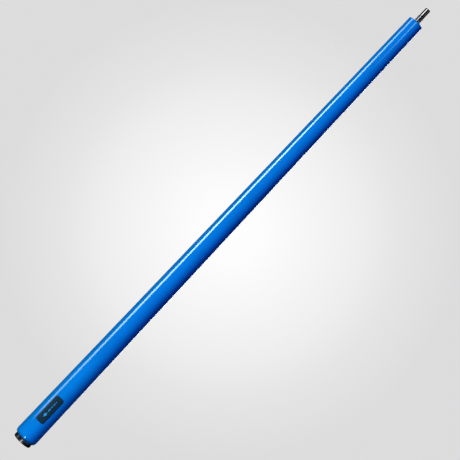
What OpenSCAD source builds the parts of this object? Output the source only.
// Butt section of a two-piece cue, with a quick-release joint pin at the top and a screwed rubber bumper
// at the foot. It stands on its bumper: Z runs up the axis, from the foot of the bumper to the joint pin.

/* [Butt] */
// Length from the foot of the bumper to the joint face
cue_length = 736.6; // [700:0.1:780]
// Diameter at the wide end of the taper
butt_d = 31.8; // [30.5:0.1:33]
// Diameter at the joint face
joint_d = 21.2; // [20.6:0.1:22.4]
// Length of the front wood, from the handle to the joint face
forearm_length = 330; // [280:1:360]
// Length of the turned sleeve between the butt cap and the handle
sleeve_length = 100; // [80:1:120]
// Height of the butt cap above the bumper
cap_height = 25; // [23:0.5:30]
// Width of the rounded shoulder of the butt cap
shoulder_width = 3; // [2:0.1:3.2]
// Height of the rounded shoulder of the butt cap
shoulder_height = 5.8; // [3:0.1:7]

/* [Joint] */
// Height of the joint collar
collar_height = 21; // [16:0.5:25]
// Diameter of the wooden tenon inside the collar
collar_tenon_d = 14.6; // [14:0.1:15]
// Diameter over the pin's thread
pin_thread_d = 8.6; // [8:0.1:9]
// Length of the pin's threaded part, from the joint face
pin_thread_length = 12; // [10:0.5:14]
// Distance between two turns of the pin's thread
pin_pitch = 2.9; // [2:0.1:3.2]
// Diameter of the smooth guide at the end of the pin
pin_guide_d = 7.4; // [6.8:0.1:7.6]
// Length of the smooth guide
pin_guide_length = 10.9; // [8:0.1:12]

/* [Bumper] */
// Diameter of the rubber pad
bumper_d = 25.8; // [24.6:0.1:26]
// Height of the bumper below the butt cap
bumper_height = 6; // [5.8:0.1:7]
// Radius of the pad's rounded edge
pad_round = 1.5; // [0.8:0.1:2.6]
// Pitch of the bumper screw's thread
screw_pitch = 1.27; // [1:0.01:1.5]

/* [Weights] */
// Length of the weight bolt
weight_length = 50; // [30:1:60]
// Depth of the weight bolt's lower end above the foot
weight_depth = 40; // [38:0.5:44]

/* [Label] */
// Length of the label along the butt
label_length = 41; // [30:1:50]
// Width of the label, measured straight across
label_width = 13.2; // [10:0.1:16]
// Radius of the label's corners
label_corner = 3; // [1:0.1:4]
// Height of the label's lower edge above the foot
label_base = 36.2; // [34:0.1:40]

/* [Hidden] */
facets = 96;         // sides of the turned pieces in a preview
glue_gap = 0.05;     // radial gap at each glued or screwed fit
running_gap = 0.06;  // radial gap at each moving fit
overrun = 1;         // how far a cutting shape runs past the face that it cuts

// Heights of the faces, from the foot upwards
cap_z = bumper_height;
sleeve_z = cap_z + cap_height;
handle_z = sleeve_z + sleeve_length;
forearm_z = cue_length - forearm_length;
collar_z = cue_length - collar_height;
taper_z = cap_z + shoulder_height;

// Bumper
flange_z = 3.75;             // lower face of the bumper's base
gasket_z = cap_z - 0.4;      // lower face of the gasket
flange_r = bumper_d / 2 - 0.15;
groove_r = bumper_d / 2 - 0.9;
pad_hole_r = 5.6;
plug_r = 8;                  // plug of the bumper's base, inside the cap
recess_top_z = 15.6;         // top of the recess in the cap
plug_top_z = recess_top_z - 0.6;
head_z = 0.9;                // the screw's head is sunk by this much
head_r = 4.75;
washer_z = flange_z - 0.6;
washer_r = 5.3;
screw_r = 3.175;             // over the thread
screw_tip_z = 31;
screw_thread_z = 16;         // where the screw's thread begins

// Weight bore, plug and bolt
bolt_r = 6.35;
bore_top_z = 126;
plug_z = 17.5;
retainer_length = 11.5;
hex_socket = 6.4;            // across the corners of the hexagon sockets

// Tenons and studs
butt_tenon_r = 9.5;
middle_tenon_r = 8;
middle_tenon_length = 18;
stud_r = 4.76;
stud_length = 70;
insert_r = 6.35;
insert_length = 38;
pin_shank_r = 3.95;
pin_shank_length = 35;
stud_pitch = 2.54;
bolt_pitch = 1.95;

function taper_r(z) = butt_d / 2 + (joint_d - butt_d) / 2 * (z - taper_z) / (cue_length - taper_z);

// Points along a quarter of an ellipse in the (radius, height) plane
function bend(centre, width, height, from, to, steps = 10) =
    [for (i = [0 : steps]) let (a = from + (to - from) * i / steps)
        centre + [width * cos(a), height * sin(a)]];

// Outline of a row of thread turns from z0 to z1: each turn rises from the root to a flat crest
function turns(z0, z1, pitch, root, crest) =
    let (count = floor((z1 - z0) / pitch), start = (z0 + z1 - count * pitch) / 2)
    [for (i = [0 : count - 1], p = [[root, 0.1], [crest, 0.4], [crest, 0.6], [root, 0.9]])
        [p[0], start + (i + p[1]) * pitch]];

module turned(outline) {
    rotate_extrude($fn = facets) polygon(outline);
}

// A straight round hole between two heights
module bore(radius, from, to) {
    translate([0, 0, from]) cylinder(r = radius, h = to - from, $fn = facets);
}

// A six-sided socket between two heights
module hex_hole(across_corners, from, to) {
    translate([0, 0, from]) cylinder(d = across_corners, h = to - from, $fn = 6);
}

// A threaded rod with bevelled ends and separate turns
module threaded_rod(radius, from, to, pitch) {
    root = radius - 0.35 * pitch;
    turned(concat([[0, from], [root - 0.3, from], [root, from + 0.3]],
                  turns(from + 0.4, to - 0.4, pitch, root, radius),
                  [[root, to - 0.3], [root - 0.3, to], [0, to]]));
}

module forearm() {
    socket_top = forearm_z + middle_tenon_length + glue_gap;
    color("royalblue")
    difference() {
        turned([[0, forearm_z], [taper_r(forearm_z), forearm_z], [taper_r(collar_z), collar_z],
                [collar_tenon_d / 2, collar_z], [collar_tenon_d / 2, cue_length - 0.3],
                [0, cue_length - 0.3]]);
        bore(insert_r + glue_gap, cue_length - insert_length - 2, cue_length + overrun);
        bore(middle_tenon_r + glue_gap, forearm_z - overrun, socket_top);
        bore(stud_r + glue_gap, forearm_z, socket_top + stud_length / 2 + 1);
    }
}

module handle() {
    tenon_top = forearm_z + middle_tenon_length;
    tenon_foot = recess_top_z + 0.1;
    color("royalblue")
    difference() {
        turned([[0, tenon_foot], [butt_tenon_r, tenon_foot], [butt_tenon_r, handle_z],
                [taper_r(handle_z), handle_z], [taper_r(forearm_z), forearm_z],
                [middle_tenon_r, forearm_z], [middle_tenon_r, tenon_top], [0, tenon_top]]);
        bore(bolt_r + running_gap, tenon_foot - overrun, bore_top_z);
        bore(stud_r + glue_gap, tenon_top - stud_length / 2 - 1, tenon_top + overrun);
    }
}

module butt_sleeve() {
    inner = butt_tenon_r + glue_gap;
    color("royalblue")
    turned([[inner, sleeve_z], [taper_r(sleeve_z), sleeve_z], [taper_r(handle_z), handle_z],
            [inner, handle_z]]);
}

module butt_cap() {
    tenon_hole_r = butt_tenon_r + glue_gap;
    recess_r = plug_r + running_gap;
    foot_r = butt_d / 2 - shoulder_width;
    color("royalblue")
    turned(concat([[recess_r, recess_top_z], [recess_r, cap_z]],
                  bend([foot_r, taper_z], shoulder_width, shoulder_height, -90, 0),
                  [[taper_r(sleeve_z), sleeve_z], [tenon_hole_r, sleeve_z],
                   [tenon_hole_r, recess_top_z]]));
}

// Rounded rectangle in the (x, y) plane, centred on x and standing on y = 0
module label_outline() {
    inset = label_corner;
    for (x = [inset - label_width / 2, label_width / 2 - inset], y = [inset, label_length - inset])
        translate([x, y]) circle(r = label_corner, $fn = 48);
    translate([-label_width / 2, inset]) square([label_width, label_length - 2 * inset]);
    translate([inset - label_width / 2, 0]) square([label_width - 2 * inset, label_length]);
}

// A thin film that follows the sleeve, on the side that faces -Y
module label() {
    film_gap = 0.02;
    film = 0.2;
    low = label_base - overrun;
    high = label_base + label_length + overrun;
    color("black")
    intersection() {
        turned([[taper_r(low) + film_gap, low], [taper_r(low) + film, low],
                [taper_r(high) + film, high], [taper_r(high) + film_gap, high]]);
        translate([0, 0, label_base]) rotate([90, 0, 0]) linear_extrude(butt_d) label_outline();
    }
}

module joint_collar() {
    inner = collar_tenon_d / 2 + glue_gap;
    edge = 0.4;
    color("royalblue")
    turned(concat([[inner, collar_z], [taper_r(collar_z), collar_z]],
                  bend([joint_d / 2 - edge, cue_length - edge], edge, edge, 0, 90, 4),
                  [[inner, cue_length]]));
}

module joint_insert() {
    color("goldenrod")
    difference() {
        threaded_rod(insert_r, cue_length - insert_length, cue_length - 0.1, bolt_pitch);
        bore(pin_shank_r + glue_gap, cue_length - insert_length - overrun, cue_length + overrun);
    }
}

module joint_pin() {
    root = pin_thread_d / 2 - 0.75;
    guide_r = pin_guide_d / 2;
    guide_z = cue_length + pin_thread_length;
    tip_z = guide_z + pin_guide_length;
    thread_top = guide_z - 0.6;
    color("silver")
    turned(concat([[0, cue_length - pin_shank_length], [pin_shank_r, cue_length - pin_shank_length],
                   [pin_shank_r, cue_length + 0.3], [root, cue_length + 0.5]],
                  turns(cue_length + 0.5, thread_top, pin_pitch, root, pin_thread_d / 2),
                  [[root, thread_top], [guide_r, guide_z], [guide_r, tip_z - 0.7],
                   [guide_r - 0.7, tip_z], [0, tip_z]]));
}

module middle_stud() {
    middle = forearm_z + middle_tenon_length;
    color("silver")
    threaded_rod(stud_r, middle - stud_length / 2, middle + stud_length / 2, stud_pitch);
}

module retainer_plug() {
    color("goldenrod")
    difference() {
        threaded_rod(bolt_r, plug_z, plug_z + retainer_length, bolt_pitch);
        bore(screw_r + running_gap, plug_z - overrun, plug_z + retainer_length + overrun);
        hex_hole(9.2, plug_z - overrun, plug_z + 3);
    }
}

module weight_bolt() {
    color("silver")
    difference() {
        threaded_rod(bolt_r, weight_depth, weight_depth + weight_length, bolt_pitch);
        hex_hole(hex_socket, weight_depth - overrun, weight_depth + 8);
    }
}

module bumper_base() {
    inner = screw_r + running_gap;
    color("dimgray")
    turned([[inner, flange_z], [flange_r - 0.2, flange_z], [flange_r, flange_z + 0.2],
            [flange_r, gasket_z - 0.2], [flange_r - 0.2, gasket_z], [plug_r, gasket_z],
            [plug_r, plug_top_z - 0.6], [plug_r - 0.6, plug_top_z], [inner, plug_top_z]]);
}

module bumper_gasket() {
    color("black")
    turned([[plug_r + 0.1, gasket_z + 0.02], [groove_r, gasket_z + 0.02], [groove_r, cap_z - 0.02],
            [plug_r + 0.1, cap_z - 0.02]]);
}

module bumper_pad() {
    pad_r = bumper_d / 2;
    lip_z = flange_z - 0.35;
    color("black")
    turned(concat([[pad_hole_r, 0]],
                  bend([pad_r - pad_round, pad_round], pad_round, pad_round, -90, 0),
                  [[pad_r, lip_z], [groove_r, lip_z + 0.1], [groove_r, flange_z - 0.02],
                   [pad_hole_r, flange_z - 0.02]]));
}

module bumper_washer() {
    color("silver")
    turned([[screw_r + running_gap, washer_z], [washer_r, washer_z],
            [washer_r, flange_z - 0.02], [screw_r + running_gap, flange_z - 0.02]]);
}

module bumper_screw() {
    root = screw_r - 0.35 * screw_pitch;
    color("silver")
    difference() {
        turned(concat([[0, head_z], [head_r - 0.5, head_z], [head_r, head_z + 0.5],
                       [head_r, washer_z - 0.03], [root, washer_z - 0.03], [root, screw_thread_z]],
                      turns(screw_thread_z, screw_tip_z - 0.6, screw_pitch, root, screw_r),
                      [[root, screw_tip_z - 0.6], [root - 0.6, screw_tip_z], [0, screw_tip_z]]));
        hex_hole(4.6, head_z - overrun, head_z + 1.5);
    }
}

forearm();
handle();
butt_sleeve();
butt_cap();
label();
joint_collar();
joint_insert();
joint_pin();
middle_stud();
retainer_plug();
weight_bolt();
bumper_base();
bumper_gasket();
bumper_pad();
bumper_washer();
bumper_screw();
